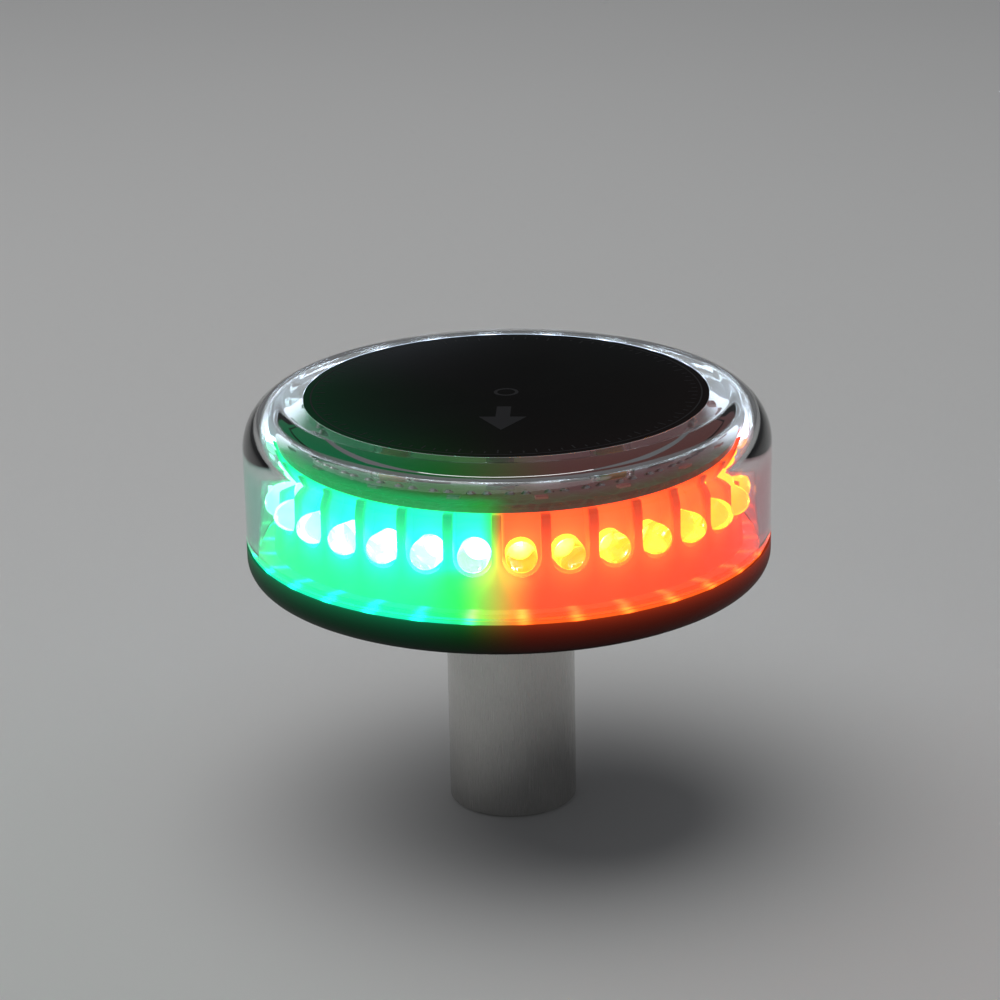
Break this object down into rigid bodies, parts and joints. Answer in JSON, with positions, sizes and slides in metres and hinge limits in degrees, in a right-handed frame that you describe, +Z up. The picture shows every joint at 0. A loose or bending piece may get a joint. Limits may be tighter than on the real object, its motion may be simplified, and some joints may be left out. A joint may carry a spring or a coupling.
{
  "type": "navigation light",
  "caption": "Round three-colour boat navigation light with a clear cover over a ring of LEDs, on a dark base that swivels on a short tubular stem.",
  "frame": {"origin": "centre of the stem's lower end", "axes": "+Z up along the stem and the head's axis, -Y to the bow (the arrow on the top label), +X to port (red sector), -X to starboard (green sector)"},
  "size_m": [0.09, 0.09, 0.0742],
  "materials": {
    "clear_cover": "moulded clear polycarbonate, polished",
    "label_print": "printed satin film",
    "seal_rubber": "soft silicone, satin",
    "carrier_white": "white acetal, satin",
    "led_green": "clear green epoxy, lit",
    "led_red": "clear red epoxy, lit",
    "led_white": "water-clear epoxy, lit",
    "tinned_wire": "tinned wire",
    "board_green": "green solder mask",
    "solder": "bright solder",
    "chip_black": "moulded black epoxy",
    "ferrite": "pressed ferrite, matt",
    "capacitor_sleeve": "shrink sleeve",
    "terminal_green": "moulded nylon",
    "plated_steel": "zinc plated",
    "stainless": "stainless steel, bright",
    "insert_brass": "turned brass",
    "base_plastic": "moulded charcoal plastic, fine texture",
    "stainless_tube": "drawn tube, satin polish"
  },
  "bodies": {
    "stem": {"stem_tube": "stainless_tube"},
    "head": {"lens_cover": "clear_cover", "top_label": "label_print", "cover_seal": "seal_rubber", "led_carrier": "carrier_white", "green_leds": "led_green", "red_leds": "led_red", "white_leds": "led_white", "led_leads": "tinned_wire", "circuit_board": "board_green", "solder_joints": "solder", "led_resistors": "chip_black", "driver_chips": "chip_black", "power_inductors": "ferrite", "protection_diode": "chip_black", "filter_capacitors": "capacitor_sleeve", "terminal_block": "terminal_green", "terminal_screws": "plated_steel", "board_screws": "plated_steel", "cover_screws": "stainless", "screw_seals": "seal_rubber", "cover_inserts": "insert_brass", "base_housing": "base_plastic", "stem_o_ring": "seal_rubber", "collar_inserts": "insert_brass", "set_screws": "stainless", "cable_grommet": "seal_rubber"}
  },
  "joints": [
    {"name": "head_swivel", "type": "hinge", "parent": "stem", "child": "head", "pos_m": [0, 0, 0.0405], "axis": [0, 0, 1], "range_deg": [-180, 180]}
  ]
}
